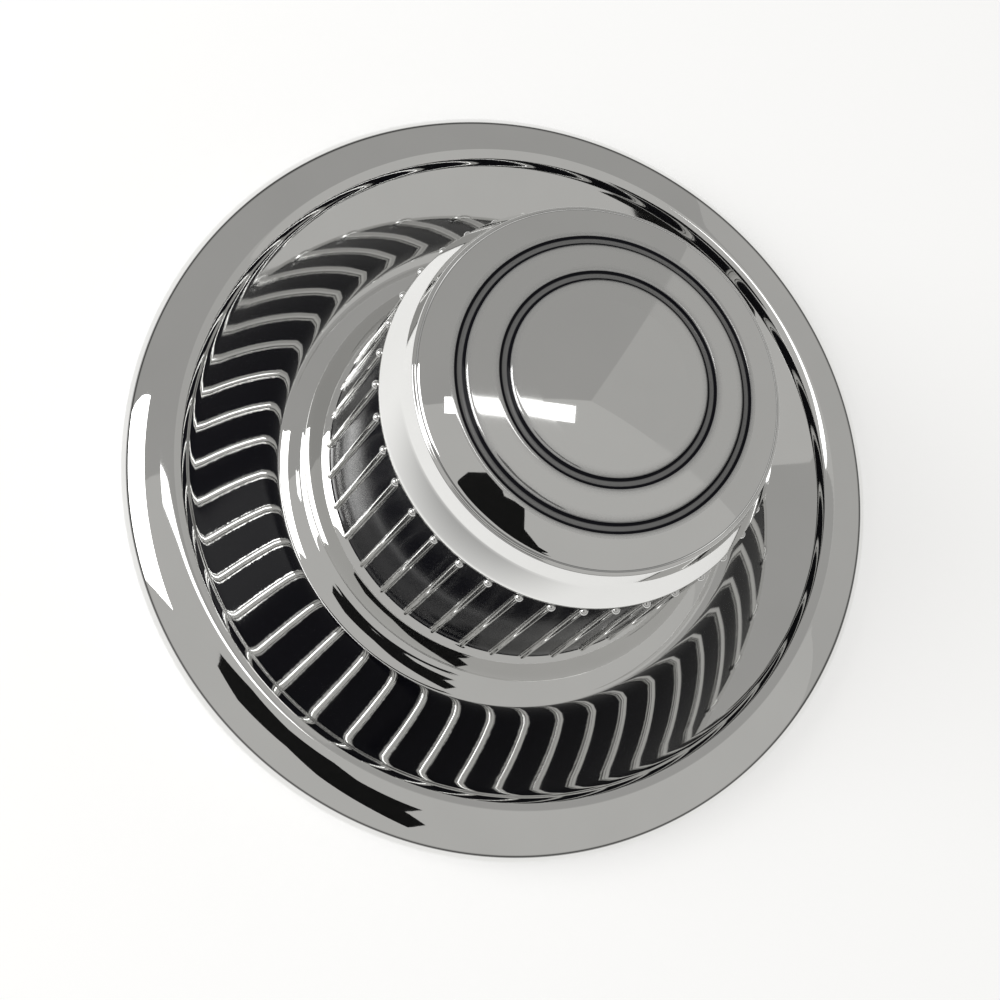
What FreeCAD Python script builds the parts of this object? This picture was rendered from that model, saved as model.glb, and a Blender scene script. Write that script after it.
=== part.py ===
# Wheel centre hubcap: a drawn and plated sheet cap with a finned neck, held by five spring clips.
# Millimetres, +Z along the axis towards the crown, origin at the middle of the rim's back plane.

import FreeCAD, Part
import math
import os

Vector = FreeCAD.Vector
AXIS = Vector(0, 0, 1)
ORIGIN = Vector(0, 0, 0)

# Sheet
sheet = 0.8

# Rim and lip: the skirt runs up from the back plane, rolls over and becomes the broad lip
rim_radius = 133.35
skirt_height = 11.5
roll_radius = 5.5
lip_crest_inset = 13.85
lip_crest_rise = 2.4
lip_inner_inset = 18.75
lip_inner_drop = 0.8
lip_edge_width = 2.2
lip_edge_drop = 2.4
lip_edge_swell = 0.35

# Dish: a plain cone that falls from the lip to the foot of the ring
dish_slope_deg = 28.5

# Stepped ring round the foot of the neck: a rounded swell, a crease, a rising band and a small step
ring_foot_radius = 83.6
ring_foot_width = 4.5
ring_foot_rise = 0.8
ring_foot_hollow = 0.18
bead_inset = 3.2
bead_rise = 1.4
crease_inset = 6.8
crease_rise = 2.05
band_inset = 13.2
band_rise = 8.84
band_hollow = 0.6
step_width = 1.4
step_rise = 1.1
neck_foot_width = 1.5
neck_foot_rise = 0.7

# Neck: a slow taper, with fins that stand up from it
neck_height = 66.2
neck_draft = 8.5
fin_count = 40
fin_radius = 0.95
fin_stand = 0.25
fin_foot_gap = 0.4
fin_tip_radius = 1.35
fin_tip_drop = 1.4

# Crown: a rolled lower edge, a sloping band, a shoulder, and a dome with two rounded grooves
crown_overhang = 0.9
crown_edge_rise = 2.6
crown_edge_swell = 0.57
crown_band_inset = 5.3
crown_band_height = 8.9
shoulder_inset = 1.9
shoulder_height = 5.6
dome_inset = 1.3
dome_step = 0.8
dome_rise = 7.4
groove_insets = (10.6, 22.1)
groove_width = 3.4
groove_depth = 1.1

# Retaining clips, spread evenly inside the skirt: a pad, a bend and a spring finger with a knee
clip_count = 5
clip_first_deg = 90.0
clip_sweep_deg = 8.0
clip_sheet = 0.7
clip_pad_clearance = 0.05
clip_pad_length = 8.0
clip_bend_radius = 1.6
clip_floor_clearance = 1.2
clip_finger_length = 8.5
clip_lean_deg = 32.0
clip_tip_length = 3.6
clip_tip_deg = 40.0


def point(radius, height):
    """A point of a turned profile, in the XZ plane."""
    return Vector(radius, 0, height)


def line(start, end):
    return Part.LineSegment(start, end).toShape()


def arc(start, middle, end):
    return Part.Arc(start, middle, end).toShape()


def bulge(start, end, height):
    """An arc from start to end that stands height proud of its chord, on the chord's left."""
    chord = end - start
    left = Vector(-chord.z, 0, chord.x).normalize()
    return arc(start, (start + end) * 0.5 + left * height, end)


# Stations of the face profile, each placed from the one before it
skirt_foot = point(rim_radius, 0)
roll_centre = point(rim_radius - roll_radius, skirt_height)
roll_side = roll_centre + point(roll_radius, 0)
roll_top = roll_centre + point(0, roll_radius)
lip_crest = point(rim_radius - lip_crest_inset, roll_top.z + lip_crest_rise)
lip_inner = point(rim_radius - lip_inner_inset, lip_crest.z - lip_inner_drop)
dish_outer = lip_inner - point(lip_edge_width, lip_edge_drop)
dish_inner_radius = ring_foot_radius + ring_foot_width
dish_fall = (dish_outer.x - dish_inner_radius) * math.tan(math.radians(dish_slope_deg))
dish_inner = point(dish_inner_radius, dish_outer.z - dish_fall)
ring_fall = ring_foot_width * math.tan(math.radians(dish_slope_deg))
ring_foot = dish_inner + point(-ring_foot_width, ring_foot_rise - ring_fall)
bead = ring_foot + point(-bead_inset, bead_rise)
crease = ring_foot + point(-crease_inset, crease_rise)
band = ring_foot + point(-band_inset, band_rise)
step = band + point(-step_width, step_rise)
neck_foot = step + point(-neck_foot_width, neck_foot_rise)
neck_top = neck_foot + point(-neck_draft, neck_height)
crown_edge = neck_top + point(crown_overhang, crown_edge_rise)
crown_band = crown_edge + point(-crown_band_inset, crown_band_height)
shoulder = crown_band + point(-shoulder_inset, shoulder_height)
dome_edge = shoulder + point(-dome_inset, dome_step)


def on_dome(radius):
    """The point of the dome's sphere at a radius."""
    sphere = (dome_edge.x ** 2 + dome_rise ** 2) / (2 * dome_rise)
    return point(radius, dome_edge.z + dome_rise - sphere + math.sqrt(sphere ** 2 - radius ** 2))


def dome_arc(start_radius, end_radius):
    middle_radius = (start_radius + end_radius) / 2
    return arc(on_dome(start_radius), on_dome(middle_radius), on_dome(end_radius))


def rim_and_lip():
    """Edges from the back of the skirt, over the roll and across the lip."""
    roll_middle = roll_centre + point(1, 1).normalize() * roll_radius
    return [
        line(skirt_foot, roll_side),
        arc(roll_side, roll_middle, roll_top),
        arc(roll_top, lip_crest, lip_inner),
    ]


def dish_and_ring():
    """Edges from the lip's inner edge down the dish, over the ring and up to the neck."""
    return [
        bulge(lip_inner, dish_outer, -lip_edge_swell),
        line(dish_outer, dish_inner),
        bulge(dish_inner, ring_foot, ring_foot_hollow),
        arc(ring_foot, bead, crease),
        bulge(crease, band, band_hollow),
        line(band, step),
        line(step, neck_foot),
    ]


def neck_and_crown():
    """Edges from the foot of the neck up the crown to the axis."""
    edges = [
        line(neck_foot, neck_top),
        bulge(neck_top, crown_edge, -crown_edge_swell),
        line(crown_edge, crown_band),
        line(crown_band, shoulder),
        line(shoulder, dome_edge),
    ]
    start_radius = dome_edge.x
    for inset in groove_insets:
        radius = dome_edge.x - inset
        brink = radius + groove_width / 2
        far_brink = radius - groove_width / 2
        bottom = on_dome(radius) - point(0, groove_depth)
        edges.append(dome_arc(start_radius, brink))
        edges.append(arc(on_dome(brink), bottom, on_dome(far_brink)))
        start_radius = far_brink
    edges.append(dome_arc(start_radius, 0))
    return edges


def fin():
    """One fin on the +X side: a rod laid along the neck, with a rounded tip under the crown."""
    along = (neck_top - neck_foot).normalize()
    outward = Vector(along.z, 0, -along.x)
    foot = neck_foot + along * fin_foot_gap + outward * fin_stand
    tip = neck_top - along * fin_tip_drop + outward * fin_stand
    rod = Part.makeCylinder(fin_radius, (tip - foot).Length, foot, along)
    return rod.fuse(Part.makeSphere(fin_tip_radius, tip + outward * (fin_tip_radius - fin_radius)))


def cap_shell():
    """The drawn cap: its face profile, made one sheet thick, turned about the axis and given its fins."""
    face = Part.Wire(rim_and_lip() + dish_and_ring() + neck_and_crown())
    section = face.makeOffset2D(sheet, 0, True, True, True)
    turned = section.revolve(ORIGIN, AXIS, 360)
    fins = []
    for index in range(fin_count):
        copy = fin()
        copy.rotate(ORIGIN, AXIS, index * 360 / fin_count)
        fins.append(copy)
    return turned.multiFuse(fins)


def retaining_clip(angle_deg):
    """One spring clip, bent from strip to the skirt's own curve."""
    outer = rim_radius - sheet - clip_pad_clearance
    bend_height = clip_floor_clearance + clip_bend_radius
    centre = point(outer - clip_bend_radius, bend_height)
    lean = math.radians(clip_lean_deg)
    tip_turn = math.radians(clip_tip_deg)
    pad_top = point(outer, bend_height + clip_pad_length)
    pad_foot = point(outer, bend_height)
    bend_bottom = centre - point(0, clip_bend_radius)
    finger_foot = centre - point(math.cos(lean), math.sin(lean)) * clip_bend_radius
    knee = finger_foot + point(-math.sin(lean), math.cos(lean)) * clip_finger_length
    tip = knee + point(math.sin(tip_turn), math.cos(tip_turn)) * clip_tip_length
    path = Part.Wire([
        line(pad_top, pad_foot),
        arc(pad_foot, bend_bottom, finger_foot),
        line(finger_foot, knee),
        line(knee, tip),
    ])
    strip = path.makeOffset2D(-clip_sheet, 0, True, True, True)
    clip = strip.revolve(ORIGIN, AXIS, clip_sweep_deg)
    clip.rotate(ORIGIN, AXIS, angle_deg - clip_sweep_deg / 2)
    return clip


def save(shape, name):
    shape.exportStep("parts/" + name + ".step")


os.makedirs("parts", exist_ok=True)
save(cap_shell(), "cap_shell")
for number in range(clip_count):
    angle_deg = clip_first_deg + number * 360 / clip_count
    save(retaining_clip(angle_deg), "retaining_clip_" + str(number + 1))
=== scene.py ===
import math

import bmesh
import bpy
import numpy as np
from mathutils import Euler, Matrix, Vector


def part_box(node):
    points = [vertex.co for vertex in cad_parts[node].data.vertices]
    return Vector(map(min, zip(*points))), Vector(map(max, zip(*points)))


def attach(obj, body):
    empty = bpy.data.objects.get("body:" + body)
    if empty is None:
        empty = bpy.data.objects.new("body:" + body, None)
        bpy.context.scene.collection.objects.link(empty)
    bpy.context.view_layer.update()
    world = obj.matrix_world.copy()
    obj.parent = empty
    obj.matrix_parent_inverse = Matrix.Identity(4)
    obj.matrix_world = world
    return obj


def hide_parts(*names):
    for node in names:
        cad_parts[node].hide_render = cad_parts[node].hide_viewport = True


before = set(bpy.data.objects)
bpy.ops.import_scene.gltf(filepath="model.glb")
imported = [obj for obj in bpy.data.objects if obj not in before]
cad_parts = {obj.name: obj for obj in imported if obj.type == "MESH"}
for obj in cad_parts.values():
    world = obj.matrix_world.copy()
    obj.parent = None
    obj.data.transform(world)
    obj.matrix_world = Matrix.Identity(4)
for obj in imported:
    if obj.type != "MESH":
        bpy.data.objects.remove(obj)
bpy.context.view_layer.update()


# The cap itself: one disc of thin sheet steel, deep drawn in stages into rim, dish, ring, neck and crown,
# then polished on the face and plated with bright chrome. It has no joins, so it is one turned skin of
# even thickness. Its face profile runs from the back edge of the rim to the middle of the dome, in mm.
mm = 0.001
shell_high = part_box("cap_shell")[1]
rim_radius = min(shell_high.x, shell_high.y) / mm
crown_height = shell_high.z / mm
arc_spacing = 0.2
fewest_arc_points = 8


def arc_run(start, middle, end):
    """Points along the circle through three points of the profile."""
    a, b, c = complex(*start), complex(*middle), complex(*end)
    w = (c - a) / (b - a)
    centre = a + (b - a) * (w - abs(w) ** 2) / (2j * w.imag)
    sweep_to_middle = np.angle((b - centre) / (a - centre))
    sweep = sweep_to_middle + np.angle((c - centre) / (b - centre))
    count = max(fewest_arc_points, int(abs(sweep) * abs(a - centre) / arc_spacing))
    points = centre + (a - centre) * np.exp(1j * np.linspace(0, sweep, count))
    return [(p.real, p.imag) for p in points]


def bowed_run(start, end, height):
    """An arc from start to end that stands height away from the straight line, to its left."""
    (r0, z0), (r1, z1) = start, end
    length = math.hypot(r1 - r0, z1 - z0)
    middle_radius = (r0 + r1) / 2 - (z1 - z0) / length * height
    middle_height = (z0 + z1) / 2 + (r1 - r0) / length * height
    return arc_run(start, (middle_radius, middle_height), end)


# Rim and lip: the skirt rolls over in one smooth curve up to the lip's crest and falls to its inner edge
skirt_height = 11.5
lip_crest = (118.6, 19.4)
lip_inner = (114.6, 18.6)
roll_points = 120
lip_points = 40

face_run = [(rim_radius, 0)]
for roll_turn in np.linspace(0, math.pi / 2, roll_points):
    radius = lip_crest[0] + (rim_radius - lip_crest[0]) * math.cos(roll_turn)
    height = skirt_height + (lip_crest[1] - skirt_height) * math.sin(roll_turn)
    face_run.append((radius, height))
for radius in np.linspace(lip_crest[0], lip_inner[0], lip_points)[1:-1]:
    past_crest = (lip_crest[0] - radius) / (lip_crest[0] - lip_inner[0])
    face_run.append((radius, lip_crest[1] - (lip_crest[1] - lip_inner[1]) * past_crest ** 2))

# Dish: a cone that leaves the lip a little steeper and flattens just before the ring
dish_outer = (112.4, 16.2)
dish_slope = math.radians(28.5)
lip_edge_swell = 0.35
lip_ease_width = 1.8
lip_ease_drop = 0.15
ring_foot_radius = 83.6
ring_ease_radius = 91.0
ring_ease_rise = 0.8
dish_points = 240


def dish_height(radius):
    straight = dish_outer[1] - (dish_outer[0] - radius) * math.tan(dish_slope)
    past_lip = min(1.0, (dish_outer[0] - radius) / lip_ease_width)
    near_ring = max(0.0, (ring_ease_radius - radius) / (ring_ease_radius - ring_foot_radius))
    sag = lip_ease_drop * past_lip * (2 - past_lip) - ring_ease_rise * near_ring ** 3
    return straight - sag


face_run += bowed_run(lip_inner, dish_outer, -lip_edge_swell)
for radius in np.linspace(dish_outer[0], ring_foot_radius, dish_points)[1:-1]:
    face_run.append((radius, dish_height(radius)))

# Ring: a rounded swell, a crease, a hollow band and a small step at the foot of the neck
bead_radius = 80.4
bead_height = 1.55
crease = (76.8, 3.41)
band_top = (70.4, 10.2)
band_hollow = 0.6
step_top = (69.0, 11.3)
ring_foot = (ring_foot_radius, dish_height(ring_foot_radius))
bead_top = (bead_radius, ring_foot[1] + bead_height)

face_run += arc_run(ring_foot, bead_top, crease)
face_run += bowed_run(crease, band_top, band_hollow)
face_run.append(step_top)

# Neck and crown: a slow taper, a rolled edge, a sloping band, a shoulder and a fine seam round the dome
neck_foot = (67.5, 12.0)
neck_top = (59.0, 78.2)
crown_edge = (59.3, 80.8)
crown_edge_swell = 0.5
crown_band_top = (54.6, 89.7)
shoulder = (52.7, 95.3)
seam_floor = (52.0, 94.95)

face_run.append(neck_foot)
face_run += bowed_run(neck_top, crown_edge, -crown_edge_swell)
face_run += [crown_band_top, shoulder, seam_floor]

# Dome: a shallow sphere with two rounded grooves
dome_edge = (51.4, 96.1)
groove_radii = (40.8, 29.3)
groove_width = 3.4
groove_depth = 1.1
dome_rise = crown_height - dome_edge[1]
dome_sphere = (dome_edge[0] ** 2 + dome_rise ** 2) / (2 * dome_rise)


def on_dome(radius, depth=0):
    """The point of the profile at a radius, on the dome or at a depth below it."""
    return radius, crown_height - dome_sphere + math.sqrt(dome_sphere ** 2 - radius ** 2) - depth


def dome_run(start_radius, end_radius):
    middle_radius = (start_radius + end_radius) / 2
    return arc_run(on_dome(start_radius), on_dome(middle_radius), on_dome(end_radius))


dome_start = dome_edge[0]
for groove_radius in groove_radii:
    brink = groove_radius + groove_width / 2
    far_brink = groove_radius - groove_width / 2
    face_run += dome_run(dome_start, brink)
    face_run += arc_run(on_dome(brink), on_dome(groove_radius, groove_depth), on_dome(far_brink))
    dome_start = far_brink
face_run += dome_run(dome_start, 0)

# Sheet: the face and a back one thickness behind it, turned about the axis. The limits are the largest turn,
# length and mirror error between two rows, and the back makes do with coarser ones
sheet_thickness = 0.8
edge_softness = 0.42
join_softness = 0.12
line_spacing = 0.05
blur_reach = 4
back_limits = (math.radians(14), 9.0, math.radians(2.5))
face_limits = (math.radians(10), 8.0, math.radians(0.35))
segments_round = 320


def evenly_spaced(run):
    """The same line with points at an even spacing."""
    run = np.array(run, float)
    reach = np.concatenate([[0], np.cumsum(np.hypot(*np.diff(run, axis=0).T))])
    stops = np.linspace(0, reach[-1], int(reach[-1] / line_spacing) + 1)
    return np.column_stack([np.interp(stops, reach, run[:, 0]), np.interp(stops, reach, run[:, 1])])


def eased(run, softness):
    """The line with its corners rounded as drawing and polishing leave them. Its ends stay put."""
    half = int(blur_reach * softness / line_spacing)
    steps = np.arange(-half, half + 1)
    weight = np.exp(-0.5 * (steps * line_spacing / softness) ** 2)
    weight /= weight.sum()
    padded = np.vstack([2 * run[0] - run[half:0:-1], run, 2 * run[-1] - run[-2:-half - 2:-1]])
    return np.column_stack([np.convolve(padded[:, k], weight, "valid") for k in (0, 1)])


def outward(run):
    """Unit normals on the right of the line."""
    along = np.gradient(run, axis=0)
    along /= np.hypot(along[:, 0], along[:, 1])[:, None]
    return np.column_stack([along[:, 1], -along[:, 0]])


def thinned(run, turn_limit, length_limit, mirror_limit):
    """Indexes of the points to keep: close together where the bend changes, far apart where it is even.
    Between two of them the heading changes evenly, so that lines in the mirror image don't kink."""
    along = np.gradient(run, axis=0)
    heading = np.unwrap(np.arctan2(along[:, 1], along[:, 0]))
    keep = [0]
    for index in range(1, len(run) - 1):
        last = keep[-1]
        share = np.arange(index - last + 1) / (index - last)
        drift = heading[last:index + 1] - heading[last] - share * (heading[index] - heading[last])
        turned = abs(heading[index] - heading[last]) > turn_limit
        far = math.dist(run[index], run[last]) > length_limit
        if turned or far or np.abs(drift).max() > mirror_limit:
            keep.append(index - 1 if index - 1 > last else index)
    return keep + [len(run) - 1]


face_line = eased(evenly_spaced(face_run), edge_softness)
back_line = (face_line - outward(face_line) * sheet_thickness)[::-1]
back_line = eased(evenly_spaced(back_line), 2 * edge_softness)
back_line[:, 0] = np.maximum(back_line[:, 0], 0)
skin_line = eased(evenly_spaced(np.vstack([back_line, face_line])), join_softness)
skin_line[:, 1] = np.maximum(skin_line[:, 1], 0)
skin_normal = outward(skin_line)
rim_row = int(skin_line[:, 0].argmax())
kept = thinned(skin_line[:rim_row], *back_limits)
back_rows = len(kept)
kept += [rim_row + row for row in thinned(skin_line[rim_row:], *face_limits)]
skin_line, skin_normal = skin_line[kept], skin_normal[kept]
skin_line[[0, -1], 0] = 0
skin_normal[0], skin_normal[-1] = (0, -1), (0, 1)

turn = np.arange(segments_round) * 2 * math.pi / segments_round
corners, normals = [], []
for (radius, height), (normal_r, normal_z) in zip(skin_line, skin_normal):
    if radius == 0:
        corners.append((0, 0, height * mm))
        normals.append((0, 0, normal_z))
        continue
    for angle in turn:
        corners.append((radius * math.cos(angle) * mm, radius * math.sin(angle) * mm, height * mm))
        normals.append((normal_r * math.cos(angle), normal_r * math.sin(angle), normal_z))

face_finish, neck_finish, groove_finish, back_finish = range(4)
neck_margin = 0.4
groove_margin = 6.0


def finish_at(row, radius, height):
    """Which of the cap's four finishes a row of its skin has."""
    on_neck = neck_top[0] - neck_margin < radius < neck_foot[0] + neck_margin
    near_grooves = groove_radii[1] - groove_margin < radius < groove_radii[0] + groove_margin
    if row < back_rows:
        return back_finish
    if on_neck and neck_foot[1] < height < neck_top[1]:
        return neck_finish
    if near_grooves and height > dome_edge[1]:
        return groove_finish
    return face_finish


faces, finishes = [], []
row_count = len(skin_line)
first_of_row = [0] + [1 + row * segments_round for row in range(row_count - 1)]
for row in range(row_count - 1):
    finish = finish_at(row, *(skin_line[row] + skin_line[row + 1]) / 2)
    for step in range(segments_round):
        after = (step + 1) % segments_round
        if row == 0:
            faces.append((0, first_of_row[1] + after, first_of_row[1] + step))
        elif row == row_count - 2:
            faces.append((first_of_row[row] + step, first_of_row[row] + after, first_of_row[row + 1]))
        else:
            below, above = first_of_row[row], first_of_row[row + 1]
            faces.append((below + step, below + after, above + after, above + step))
        finishes.append(finish)

shell_mesh = bpy.data.meshes.new("cap_skin")
shell_mesh.from_pydata(corners, [], faces)
shell_mesh.polygons.foreach_set("use_smooth", [True] * len(faces))
shell_mesh.polygons.foreach_set("material_index", finishes)
shell_mesh.update()
shell_mesh.normals_split_custom_set_from_vertices(normals)
shell = bpy.data.objects.new("cap_skin", shell_mesh)
bpy.context.scene.collection.objects.link(shell)


def mottled_metal(name, grain, detail, shades, shade_span, roughness, roughness_span):
    """Metal whose shade and polish both vary a little with one noise."""
    metal = bpy.data.materials.new(name)
    metal.use_nodes = True
    nodes, links = metal.node_tree.nodes, metal.node_tree.links
    surface = nodes["Principled BSDF"]
    surface.inputs["Metallic"].default_value = 1.0
    place = nodes.new("ShaderNodeTexCoord")
    mottle = nodes.new("ShaderNodeTexNoise")
    mottle.inputs["Scale"].default_value = grain
    mottle.inputs["Detail"].default_value = detail
    polish = nodes.new("ShaderNodeMapRange")
    polish.inputs["From Min"].default_value, polish.inputs["From Max"].default_value = roughness_span
    polish.inputs["To Min"].default_value, polish.inputs["To Max"].default_value = roughness
    tint = nodes.new("ShaderNodeValToRGB")
    for element, position, shade in zip(tint.color_ramp.elements, shade_span, shades):
        element.position = position
        element.color = (*shade, 1)
    links.new(place.outputs["Object"], mottle.inputs["Vector"])
    links.new(mottle.outputs["Fac"], polish.inputs["Value"])
    links.new(mottle.outputs["Fac"], tint.inputs["Fac"])
    links.new(polish.outputs["Result"], surface.inputs["Roughness"])
    links.new(tint.outputs["Color"], surface.inputs["Base Color"])
    return metal


chrome = mottled_metal(
    "bright_chrome", grain=38.0, detail=6.0,
    shades=((0.76, 0.76, 0.75), (0.83, 0.83, 0.82)), shade_span=(0.0, 1.0),
    roughness=(0.015, 0.045), roughness_span=(0.3, 0.75))
dull_back = mottled_metal(
    "unpolished_back", grain=55.0, detail=8.0,
    shades=((0.34, 0.335, 0.325), (0.55, 0.545, 0.53)), shade_span=(0.3, 0.7),
    roughness=(0.3, 0.55), roughness_span=(0.0, 1.0))


def paint_over_chrome(name, find_coverage):
    """Chrome under black paint where find_coverage gives 1. The paint has a few paler specks."""
    chrome_colour = (0.79, 0.79, 0.78, 1)
    paint_colour = (0.006, 0.006, 0.009, 1)
    speck_colour = (0.03, 0.03, 0.034, 1)
    speck_span = (0.66, 0.82)
    chrome_roughness = 0.06
    paint_roughness = 0.13
    finish = bpy.data.materials.new(name)
    finish.use_nodes = True
    tree = finish.node_tree
    surface = tree.nodes["Principled BSDF"]
    surface.inputs["Specular IOR Level"].default_value = 0.07

    def math_node(operation, first, second=None):
        node = tree.nodes.new("ShaderNodeMath")
        node.operation = operation
        for socket, value in zip(node.inputs, (first, second)):
            if isinstance(value, (int, float)):
                socket.default_value = value
            elif value is not None:
                tree.links.new(value, socket)
        return node.outputs[0]

    def limited(value, least=0.0):
        return math_node("MINIMUM", math_node("MAXIMUM", value, least), 1.0)

    def noise(scale, detail):
        node = tree.nodes.new("ShaderNodeTexNoise")
        node.inputs["Scale"].default_value = scale
        node.inputs["Detail"].default_value = detail
        tree.links.new(place.outputs["Object"], node.inputs["Vector"])
        return node.outputs["Fac"]

    def blend(cover, bare, covered):
        node = tree.nodes.new("ShaderNodeMapRange")
        tree.links.new(cover, node.inputs["Value"])
        node.inputs["To Min"].default_value = bare
        node.inputs["To Max"].default_value = covered
        return node.outputs["Result"]

    place = tree.nodes.new("ShaderNodeTexCoord")
    axes = tree.nodes.new("ShaderNodeSeparateXYZ")
    tree.links.new(place.outputs["Object"], axes.inputs["Vector"])
    coverage = find_coverage(math_node, limited, noise, axes.outputs["X"], axes.outputs["Y"])
    black = tree.nodes.new("ShaderNodeValToRGB")
    for element, position, shade in zip(black.color_ramp.elements, speck_span, (paint_colour, speck_colour)):
        element.position = position
        element.color = shade
    tree.links.new(noise(scale=3200.0, detail=2.0), black.inputs["Fac"])
    colour = tree.nodes.new("ShaderNodeMixRGB")
    colour.inputs["Color1"].default_value = chrome_colour
    tree.links.new(coverage, colour.inputs["Fac"])
    tree.links.new(black.outputs["Color"], colour.inputs["Color2"])
    tree.links.new(colour.outputs["Color"], surface.inputs["Base Color"])
    tree.links.new(blend(coverage, bare=1.0, covered=0.0), surface.inputs["Metallic"])
    tree.links.new(blend(coverage, chrome_roughness, paint_roughness), surface.inputs["Roughness"])
    return finish


fin_count = 40
fin_pitch = 2 * math.pi / fin_count * (neck_foot[0] + neck_top[0]) / 2 * mm
bare_margin = 1.08 * mm
ragged_edge = 0.34 * mm
neck_edge_blur = 0.22 * mm


def neck_coverage(math_node, limited, noise, x, y):
    """Paint between the fins. It stops short of each fin in a ragged edge."""
    half_pitch = 0.5
    noise_middle = 0.5
    turn_share = math_node("MULTIPLY", math_node("ARCTAN2", y, x), fin_count / (2 * math.pi))
    from_fin = math_node("MULTIPLY", math_node("PINGPONG", turn_share, half_pitch), fin_pitch)
    uneven = math_node("SUBTRACT", noise(scale=900.0, detail=4.0), noise_middle)
    ragged = math_node("ADD", from_fin, math_node("MULTIPLY", uneven, 2 * ragged_edge))
    past_edge = math_node("SUBTRACT", ragged, bare_margin)
    return limited(math_node("MULTIPLY", past_edge, 1 / neck_edge_blur))


groove_paint = 1.62 * mm
groove_edge_blur = 0.2 * mm
# Where the paint thins to bare chrome for the painted sheen line along each groove
sheen_line_start = 0.35 * mm
sheen_line_width = 1.1 * mm
sheen_line_cover = 0.74
haze_reach = 3.9 * mm
haze_width = 2.6 * mm
haze_lift = 0.05


def groove_coverage(math_node, limited, noise, x, y):
    """Paint in the two grooves, thinner along their middle so that bare chrome gives a painted sheen line
    there, with a speckled darker haze beside each groove.
    """
    radius = math_node("SQRT", math_node("ADD", math_node("MULTIPLY", x, x), math_node("MULTIPLY", y, y)))
    away = [math_node("ABSOLUTE", math_node("SUBTRACT", radius, r * mm)) for r in groove_radii]
    nearest = math_node("MINIMUM", *away)
    inside = math_node("SUBTRACT", groove_paint, nearest)
    core = limited(math_node("MULTIPLY", inside, 1 / groove_edge_blur))
    # Painted sheen: the paint thins along each groove's middle, so bare chrome shows there as a lighter line
    from_middle = math_node("ADD", nearest, sheen_line_start)
    painted_sheen_line = limited(math_node("MULTIPLY", from_middle, 1 / sheen_line_width), sheen_line_cover)
    beside = math_node("SUBTRACT", haze_reach, nearest)
    fade = limited(math_node("MULTIPLY", beside, 1 / haze_width))
    speckle = math_node("ADD", noise(scale=3000.0, detail=2.0), haze_lift)
    haze = math_node("MULTIPLY", math_node("MULTIPLY", fade, fade), speckle)
    return limited(math_node("MULTIPLY", core, painted_sheen_line), haze)


shell_mesh.materials.append(chrome)
shell_mesh.materials.append(paint_over_chrome("neck_black_fill", neck_coverage))
shell_mesh.materials.append(paint_over_chrome("groove_black_fill", groove_coverage))
shell_mesh.materials.append(dull_back)
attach(shell, "root")
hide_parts("cap_shell")


# The fins: a row of straight half-round ribs pressed out of the neck, each ending in a round bead below the
# crown. They are the same plated sheet as the cap, wiped clean after the paint between them went on.
fin_radius = 0.95
fin_stand = 0.25
fin_foot_gap = 0.4
fin_tip_radius = 1.35
fin_tip_drop = 1.4
fin_sides = 24
bead_rings = 14
bead_sides = 24
sharp_angle = math.radians(40)

neck_run = Vector((neck_top[0] - neck_foot[0], 0, neck_top[1] - neck_foot[1]))
up_neck = neck_run.normalized()
off_neck = Vector((up_neck.z, 0, -up_neck.x))
sideways = Vector((0, 1, 0))
fin_foot = Vector((neck_foot[0], 0, neck_foot[1])) + up_neck * fin_foot_gap + off_neck * fin_stand
fin_tip = Vector((neck_top[0], 0, neck_top[1])) - up_neck * fin_tip_drop + off_neck * fin_stand
bead_centre = fin_tip + off_neck * (fin_tip_radius - fin_radius)
along_neck = Matrix((off_neck, sideways, up_neck)).transposed().to_4x4()
pressed = bmesh.new()
for index in range(fin_count):
    around = Matrix.Rotation(index * 2 * math.pi / fin_count, 4, "Z")
    bmesh.ops.create_cone(
        pressed, cap_ends=True, segments=fin_sides, radius1=fin_radius * mm, radius2=fin_radius * mm,
        depth=(fin_tip - fin_foot).length * mm,
        matrix=around @ Matrix.Translation((fin_foot + fin_tip) / 2 * mm) @ along_neck)
    bmesh.ops.create_uvsphere(
        pressed, u_segments=bead_sides, v_segments=bead_rings, radius=fin_tip_radius * mm,
        matrix=around @ Matrix.Translation(bead_centre * mm) @ along_neck)

fin_mesh = bpy.data.meshes.new("neck_fins")
pressed.to_mesh(fin_mesh)
pressed.free()
fin_mesh.polygons.foreach_set("use_smooth", [True] * len(fin_mesh.polygons))
fin_mesh.set_sharp_from_angle(angle=sharp_angle)
fins = bpy.data.objects.new("neck_fins", fin_mesh)
bpy.context.scene.collection.objects.link(fins)
fin_mesh.materials.append(chrome)
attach(fins, "root")


# The clips: short strips of tempered spring steel, bent to a knee and spot welded inside the skirt.
# They stay as the solids give them, with the dull blue-grey of oiled steel and a few rub marks.
clip_steel = mottled_metal(
    "oiled_spring_steel", grain=260.0, detail=8.0,
    shades=((0.16, 0.17, 0.19), (0.46, 0.46, 0.47)), shade_span=(0.0, 1.0),
    roughness=(0.28, 0.5), roughness_span=(0.0, 1.0))
for name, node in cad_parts.items():
    if name.startswith("retaining_clip"):
        node.data.materials.clear()
        node.data.materials.append(clip_steel)
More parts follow.
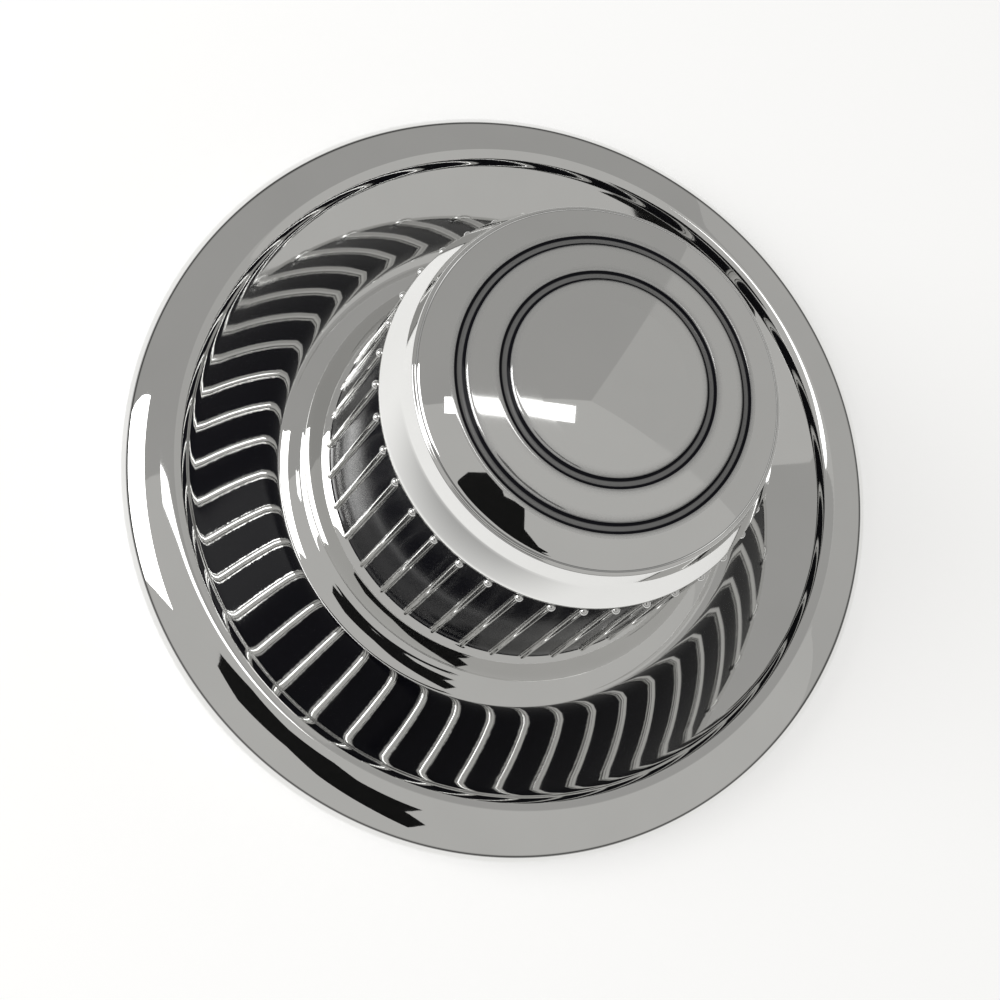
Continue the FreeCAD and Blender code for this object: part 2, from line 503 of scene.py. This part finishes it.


# The table the cap lies on: a plain white sheet that keeps the cap's soft shadow.
# Its colour and its glow are painted white near the cap and fall off to grey further out: a painted pool of
# light, as a lit table top shows.
floor_half = 3.0
light_pool_middle = (0, 0.06, 0)
light_pool_radius = 0.285
light_pool_fade_end = 0.42
light_pool_fade_share = 0.34
lift_strength = 0.42
floor_mesh = bpy.data.meshes.new("white_table")
floor_mesh.from_pydata([(-floor_half, -floor_half, 0), (floor_half, -floor_half, 0),
                        (floor_half, floor_half, 0), (-floor_half, floor_half, 0)], [], [(0, 1, 2, 3)])
table = bpy.data.objects.new("white_table", floor_mesh)
bpy.context.scene.collection.objects.link(table)
white_card = bpy.data.materials.new("white_card")
white_card.use_nodes = True
nodes, links = white_card.node_tree.nodes, white_card.node_tree.links
card = nodes["Principled BSDF"]
card.inputs["Roughness"].default_value = 0.9
card.inputs["Specular IOR Level"].default_value = 0.0
card.inputs["Emission Color"].default_value = (1, 1, 1, 1)
place = nodes.new("ShaderNodeTexCoord")
from_middle = nodes.new("ShaderNodeVectorMath")
from_middle.operation = "SUBTRACT"
from_middle.inputs[1].default_value = light_pool_middle
distance = nodes.new("ShaderNodeVectorMath")
distance.operation = "LENGTH"
# Painted pool of light: the card's colour fades from white near the cap to grey further out
light_pool_falloff = nodes.new("ShaderNodeMapRange")
light_pool_falloff.interpolation_type = "SMOOTHSTEP"
light_pool_falloff.inputs["From Min"].default_value = light_pool_radius
light_pool_falloff.inputs["From Max"].default_value = light_pool_fade_end
light_pool_falloff.inputs["To Min"].default_value = 1.0
light_pool_falloff.inputs["To Max"].default_value = light_pool_fade_share
light_pool_colour = nodes.new("ShaderNodeValToRGB")
light_pool_colour.color_ramp.elements[0].color = (0, 0, 0, 1)
light_pool_colour.color_ramp.elements[1].color = (0.86, 0.86, 0.855, 1)
rays = nodes.new("ShaderNodeLightPath")
camera_or_glossy = nodes.new("ShaderNodeMath")
camera_or_glossy.operation = "MAXIMUM"
seen = nodes.new("ShaderNodeMath")
seen.operation = "MAXIMUM"
lift = nodes.new("ShaderNodeMath")
lift.operation = "MULTIPLY"
lift.inputs[1].default_value = lift_strength
# The glow for camera and mirror rays fades with the same painted pool of light
pooled_lift = nodes.new("ShaderNodeMath")
pooled_lift.operation = "MULTIPLY"
links.new(place.outputs["Object"], from_middle.inputs[0])
links.new(from_middle.outputs["Vector"], distance.inputs[0])
links.new(distance.outputs["Value"], light_pool_falloff.inputs["Value"])
links.new(light_pool_falloff.outputs["Result"], light_pool_colour.inputs["Fac"])
links.new(light_pool_colour.outputs["Color"], card.inputs["Base Color"])
links.new(rays.outputs["Is Camera Ray"], camera_or_glossy.inputs[0])
links.new(rays.outputs["Is Glossy Ray"], camera_or_glossy.inputs[1])
links.new(camera_or_glossy.outputs[0], seen.inputs[0])
links.new(rays.outputs["Is Transmission Ray"], seen.inputs[1])
links.new(seen.outputs[0], lift.inputs[0])
links.new(lift.outputs[0], pooled_lift.inputs[0])
links.new(light_pool_falloff.outputs["Result"], pooled_lift.inputs[1])
links.new(pooled_lift.outputs[0], card.inputs["Emission Strength"])
floor_mesh.materials.append(white_card)


# The room: three plain grey walls that meet overhead, a strip lamp and a large soft lamp on the left.
# The chrome shows all of it, so a dark flag behind the lens gives the mirror some black to work with.
room_corner_tilt = math.radians(20)
wall_shades = ((0.0, 0.37), (0.128, 0.50), (0.558, 0.44), (0.78, 0.37))
wall_tint = (1.0, 0.99, 0.965)
world = bpy.data.worlds.new("grey_room")
bpy.context.scene.world = world
world.use_nodes = True
nodes, links = world.node_tree.nodes, world.node_tree.links
sky = nodes["Background"]
direction = nodes.new("ShaderNodeTexCoord")
turned = nodes.new("ShaderNodeMapping")
turned.inputs["Rotation"].default_value = (room_corner_tilt, 0, 0)
sector = nodes.new("ShaderNodeTexGradient")
sector.gradient_type = "RADIAL"
walls = nodes.new("ShaderNodeValToRGB")
walls.color_ramp.interpolation = "CONSTANT"
for start, shade in wall_shades[2:]:
    walls.color_ramp.elements.new(start)
for element, (start, shade) in zip(walls.color_ramp.elements, wall_shades):
    element.position = start
    element.color = (*[shade * share for share in wall_tint], 1)
height_in_room = nodes.new("ShaderNodeSeparateXYZ")
low_shade = nodes.new("ShaderNodeMapRange")
low_shade.interpolation_type = "SMOOTHSTEP"
low_shade.inputs["From Min"].default_value = 0.04
low_shade.inputs["From Max"].default_value = 0.18
low_shade.inputs["To Min"].default_value = 0.16
low_shade.inputs["To Max"].default_value = 1.0
links.new(direction.outputs["Generated"], height_in_room.inputs["Vector"])
links.new(height_in_room.outputs["Z"], low_shade.inputs["Value"])
links.new(low_shade.outputs["Result"], sky.inputs["Strength"])
links.new(direction.outputs["Generated"], turned.inputs["Vector"])
links.new(turned.outputs["Vector"], sector.inputs["Vector"])
links.new(sector.outputs["Color"], walls.inputs["Fac"])
links.new(walls.outputs["Color"], sky.inputs["Color"])

lamp_run = Vector((1.2, 1.14, 0.2)).normalized()
for name, spot, length, width, power in (
    ("left_softbox", Vector((-1.15, -1.0, 0.8)), 1.3, 1.0, 13.0),
    ("ceiling_strip", Vector((-0.36, 0.166, 1.97)), 0.98, 0.13, 0.8),
):
    lamp = bpy.data.lights.new(name, "AREA")
    lamp.shape = "RECTANGLE"
    lamp.size = length
    lamp.size_y = width
    lamp.energy = power
    holder = bpy.data.objects.new(name, lamp)
    facing = spot.normalized()
    across = facing.cross(lamp_run).normalized()
    aim = Matrix((across.cross(facing), across, facing)).transposed().to_4x4()
    holder.matrix_world = Matrix.Translation(spot) @ aim
    bpy.context.scene.collection.objects.link(holder)

flag_outline = ((-0.12, -0.42), (-0.05, -0.54), (0.10, -0.50), (0.22, -0.60), (0.45, -0.70), (0.70, -0.84),
                (0.52, -0.50), (0.36, -0.36), (0.30, -0.20), (0.17, -0.19), (0.11, -0.13), (0.04, -0.16),
                (-0.03, -0.12), (-0.10, -0.20))
flag_height = 0.9
flag_mesh = bpy.data.meshes.new("dark_flag")
flag_mesh.from_pydata([(x, y, flag_height) for x, y in flag_outline], [], [tuple(range(len(flag_outline)))])
flag = bpy.data.objects.new("dark_flag", flag_mesh)
flag.visible_camera = False
flag.visible_diffuse = False
flag.visible_shadow = False
bpy.context.scene.collection.objects.link(flag)
flag_cloth = bpy.data.materials.new("flag_cloth")
flag_cloth.use_nodes = True
cloth = flag_cloth.node_tree.nodes["Principled BSDF"]
cloth.inputs["Base Color"].default_value = (0.01, 0.01, 0.01, 1)
cloth.inputs["Roughness"].default_value = 0.9
flag_mesh.materials.append(flag_cloth)


# The view: the camera hangs close over the near side of the cap, tipped towards it and rolled.
# Its place, tilt and roll were found from circles fitted to the edges in the photo.
camera_place = Vector((4.16, -128.22, 339.18)) * mm
camera_tilt = math.radians(18.90)
camera_roll = math.radians(47.53)
eye = bpy.data.cameras.new("eye")
eye.lens = 36.0
eye.sensor_width = 36.0
eye.clip_start = 0.01
camera = bpy.data.objects.new("eye", eye)
aim = Euler((camera_tilt, 0, 0)).to_matrix().to_4x4() @ Matrix.Rotation(camera_roll, 4, "Z")
camera.matrix_world = Matrix.Translation(camera_place) @ aim
bpy.context.scene.collection.objects.link(camera)
bpy.context.scene.camera = camera
bpy.context.scene.view_settings.view_transform = "Standard"
